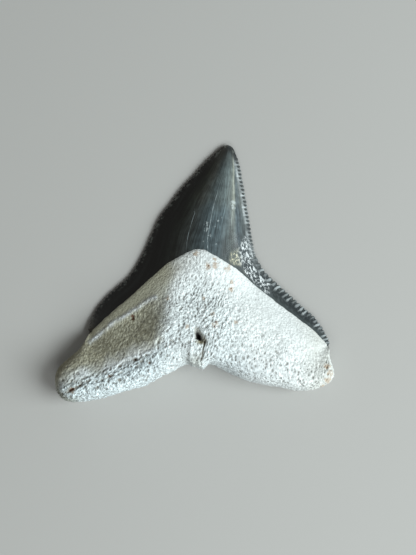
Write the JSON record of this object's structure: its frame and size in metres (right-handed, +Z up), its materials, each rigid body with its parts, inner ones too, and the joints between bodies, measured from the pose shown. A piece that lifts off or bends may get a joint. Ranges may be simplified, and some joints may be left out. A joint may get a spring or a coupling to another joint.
{
  "type": "fossil bull shark tooth",
  "caption": "Loose fossil shark tooth lying on its flat lip face: a broad serrated triangular crown with long cutting shoulders on a pale, porous two-lobed root.",
  "frame": {"origin": "middle of the tooth's box in X and Y, on the surface that the tooth lies on", "axes": "+X across the root towards the distal lobe, +Y from the root to the tip, +Z up towards the lingual face"},
  "size_m": [0.026, 0.024, 0.0049],
  "materials": {
    "fossil_tooth": "chalky, porous, off-white mineralised root under a glossy blue-grey to near-black enamel crown"
  },
  "bodies": {
    "root": {"tooth": "fossil_tooth"}
  },
  "joints": []
}
